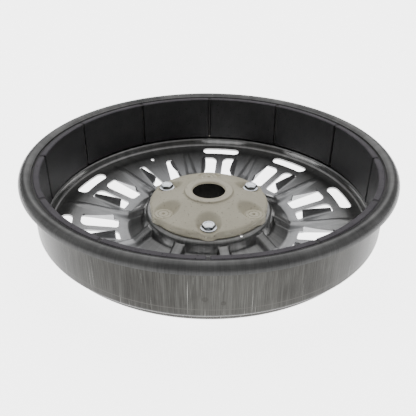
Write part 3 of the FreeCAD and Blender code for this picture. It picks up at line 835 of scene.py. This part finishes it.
def mottled(name, dark, light, scale, rough, metal=0.0, fleck=None):
    """Material with cloudy tone, fine grain and, if asked, small flecks."""
    mat, tree, shader = new_material(name)
    place = coordinates(tree)[0]
    cloud = noise(tree, place, scale, 5)
    grain = noise(tree, place, scale * 14, 3)
    colour = ramp(tree, cloud, [(0.3, dark), (0.7, light)])
    colour = mixed(tree, 0.3, colour, ramp(tree, grain, [(0.35, dark), (0.65, light)]))
    if fleck:
        flecks = ramp(tree, noise(tree, place, scale * 9, 1), [(0.66, 0.0), (0.70, 1.0)])
        colour = mixed(tree, flecks, colour, fleck)
    link(tree, colour, shader.inputs["Base Color"])
    roughness = maths(tree, "ADD", times(tree, cloud, 0.18), rough - 0.09)
    link(tree, roughness, shader.inputs["Roughness"])
    shader.inputs["Metallic"].default_value = metal
    bump(tree, shader, grain, 0.2, 0.0003)
    return mat


def screw_material():
    """Zinc with a painted highlight on the head's top and painted shade on its flanks, picked by which
    way the surface faces.
    """
    mat, tree, shader = new_material("zinc_painted_highlight")
    place = coordinates(tree)[0]
    cloud = noise(tree, place, 260.0, 4)
    grain = noise(tree, place, 1500.0, 2)
    # Painted highlight for the head's top, painted shade for the flanks.
    top = ramp(tree, cloud, [(0.3, (0.66, 0.70, 0.76)), (0.7, (0.92, 0.94, 0.97))])
    painted_shade_flank = ramp(tree, cloud, [(0.3, (0.055, 0.06, 0.065)), (0.7, (0.17, 0.18, 0.19))])
    painted_highlight_mask = clamped(tree, times(tree, maths(tree, "SUBTRACT", upward(tree), 0.62), 5.0))
    link(tree, mixed(tree, painted_highlight_mask, painted_shade_flank, top), shader.inputs["Base Color"])
    shader.inputs["Metallic"].default_value = 0.85
    link(tree, maths(tree, "ADD", times(tree, cloud, 0.15), 0.22), shader.inputs["Roughness"])
    bump(tree, shader, grain, 0.08, 0.0001)
    return mat


def look_of(name):
    """Which look a piece that is shown with its CAD mesh has."""
    if name == "magnet_glue":
        return "glue"
    if name == "shaft_bush":
        return "bush"
    return "magnet" if name.startswith("magnet") else "nut"


# ------------------------------------------------------------------ the pieces
drum = make_drum()
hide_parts("rotor_drum")
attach(drum, "root")
drum.data.materials.append(steel_material())
hub = make_hub()
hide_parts("drive_hub")
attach(hub, "root")
hub.data.materials.append(mottled("hub_moulding", (0.44, 0.405, 0.31), (0.55, 0.515, 0.40), 45.0, 0.48,
                                  fleck=(0.35, 0.315, 0.24)))
looks = {
    "magnet": ferrite_material(),
    "glue": mottled("adhesive", (0.012, 0.012, 0.012), (0.03, 0.028, 0.026), 120.0, 0.6),
    # Near-black liner: a dark material, darkened further with painted shade of the deep bore.
    "bush": mottled("dark_bush_painted_shade", (0.003, 0.003, 0.003), (0.010, 0.010, 0.009), 150.0, 0.6),
    "nut": mottled("plain_zinc", (0.35, 0.35, 0.35), (0.55, 0.55, 0.54), 150.0, 0.35, 0.95),
}
# Almost no specular on the liner, so that the bore stays black: painted shade.
looks["bush"].node_tree.nodes["Principled BSDF"].inputs["Specular IOR Level"].default_value = 0.03
for name, node in nodes.items():
    if name in ("rotor_drum", "drive_hub") or name.startswith("hub_screw"):
        continue
    node.data.materials.clear()
    node.data.materials.append(looks[look_of(name)])
zinc = screw_material()
for number in (1, 2, 3):
    screw = make_screw("flange_screw_%02d" % number, number)
    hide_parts("hub_screw_%02d" % number)
    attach(screw, "root")
    screw.data.materials.append(zinc)
joint_fill = make_joint_fill()
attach(joint_fill, "root")
joint_fill.data.materials.append(looks["glue"])
drip = make_drip()
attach(drip, "root")
drip.data.materials.append(mottled("adhesive_drip", (0.35, 0.33, 0.28), (0.55, 0.52, 0.45), 260.0, 0.45))


# ------------------------------------------------------------------ floor, light, camera
AIM = (0, 0, 0.03)
FLOOR_GLOW, WORLD_GLOW = 4.0, 0.55
CAMERA_AT, CAMERA_AHEAD = (0.0, -0.3958, 0.2578), (-0.0013, 0.8526, -0.5225)
CAMERA_LENS, CAMERA_ROLL = 46.46, 0.31


def area(name, place, size, power):
    """Rectangular lamp pointed at the part."""
    light = bpy.data.lights.new(name, "AREA")
    light.shape = "RECTANGLE"
    light.size, light.size_y = size
    light.energy = power
    obj = bpy.data.objects.new(name, light)
    obj.location = place
    obj.rotation_euler = (Vector(AIM) - Vector(place)).to_track_quat("-Z", "Y").to_euler()
    bpy.context.scene.collection.objects.link(obj)


def make_stage():
    """Glowing white floor, even pale surroundings and four soft lamps."""
    mesh = bpy.data.meshes.new("floor")
    bm = bmesh.new()
    bmesh.ops.create_circle(bm, cap_ends=True, radius=12.0, segments=96)
    bm.to_mesh(mesh)
    bm.free()
    floor = bpy.data.objects.new("floor", mesh)
    bpy.context.scene.collection.objects.link(floor)
    mat, _, shader = new_material("floor_white")
    shader.inputs["Base Color"].default_value = (0.9, 0.9, 0.9, 1)
    shader.inputs["Roughness"].default_value = 0.8
    shader.inputs["Specular IOR Level"].default_value = 0.0
    shader.inputs["Emission Color"].default_value = (1, 1, 1, 1)
    shader.inputs["Emission Strength"].default_value = FLOOR_GLOW
    mesh.materials.append(mat)
    world = bpy.data.worlds.new("studio")
    world.use_nodes = True
    world.node_tree.nodes["Background"].inputs["Color"].default_value = (1, 1, 1, 1)
    world.node_tree.nodes["Background"].inputs["Strength"].default_value = WORLD_GLOW
    bpy.context.scene.world = world
    area("overhead", (0.0, 0.35, 1.3), (1.7, 1.5), 7)
    area("back", (0.0, 2.2, 1.45), (2.6, 1.0), 15)
    area("left", (-1.5, 0.0, 0.7), (1.4, 1.4), 4)
    area("right", (1.5, 0.0, 0.7), (1.4, 1.4), 4)


def make_camera():
    """Camera along CAMERA_AHEAD, rolled a little about that direction."""
    data = bpy.data.cameras.new("camera")
    data.sensor_width = 36.0
    data.lens = CAMERA_LENS
    data.clip_start = 0.01
    camera = bpy.data.objects.new("camera", data)
    ahead = Vector(CAMERA_AHEAD).normalized()
    right = ahead.cross(Vector((0, 0, 1))).normalized()
    up = right.cross(ahead)
    roll = math.radians(CAMERA_ROLL)
    turned_right = right * math.cos(roll) + up * math.sin(roll)
    turned_up = -right * math.sin(roll) + up * math.cos(roll)
    basis = Matrix((turned_right, turned_up, -ahead)).transposed().to_4x4()
    camera.matrix_world = Matrix.Translation(CAMERA_AT) @ basis
    bpy.context.scene.collection.objects.link(camera)
    bpy.context.scene.camera = camera


make_stage()
make_camera()
